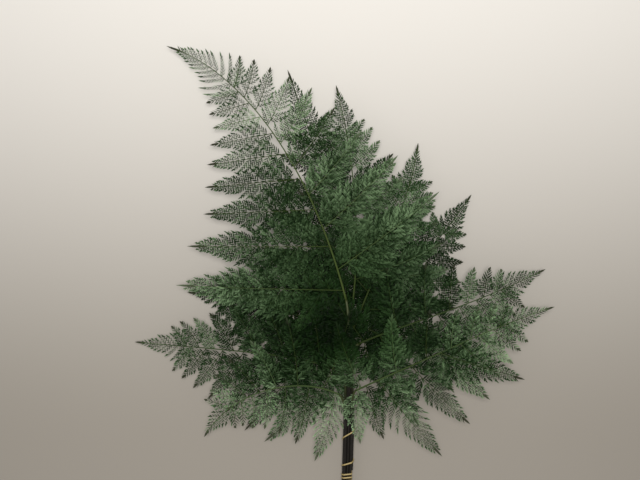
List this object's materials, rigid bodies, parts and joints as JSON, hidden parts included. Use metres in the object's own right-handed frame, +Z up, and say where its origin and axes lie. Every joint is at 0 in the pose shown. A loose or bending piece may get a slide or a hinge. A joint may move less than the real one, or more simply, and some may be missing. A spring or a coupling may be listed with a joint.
{
  "type": "davallia fern bunch",
  "caption": "Cut bunch of lacy fern fronds lying flat, their dark stalks side by side and wound with a thin elastic band.",
  "frame": {"origin": "middle of the flat spot on the lowest frond's midrib, on the surface that the bunch lies on", "axes": "+Z up from the surface, +Y from the cut stalk ends towards the foliage, +X to the right of a viewer who looks down with the foliage away from them"},
  "size_m": [0.504, 0.5798, 0.0801],
  "materials": {
    "leaf": "matt, leathery leaf",
    "stalk": "smooth, slightly glossy",
    "band": "matt"
  },
  "bodies": {
    "root": {"frond_front": "leaf", "frond_left": "leaf", "frond_left_back": "leaf", "frond_left_lower": "leaf", "frond_right": "leaf", "frond_right_back": "leaf", "frond_right_lower": "leaf", "frond_under": "leaf", "frond_upper": "leaf", "frond_upper_right": "leaf", "stalk_front": "stalk", "stalk_left": "stalk", "stalk_left_back": "stalk", "stalk_left_lower": "stalk", "stalk_right": "stalk", "stalk_right_back": "stalk", "stalk_right_lower": "stalk", "stalk_under": "stalk", "stalk_upper": "stalk", "stalk_upper_right": "stalk", "band": "band"}
  },
  "joints": []
}
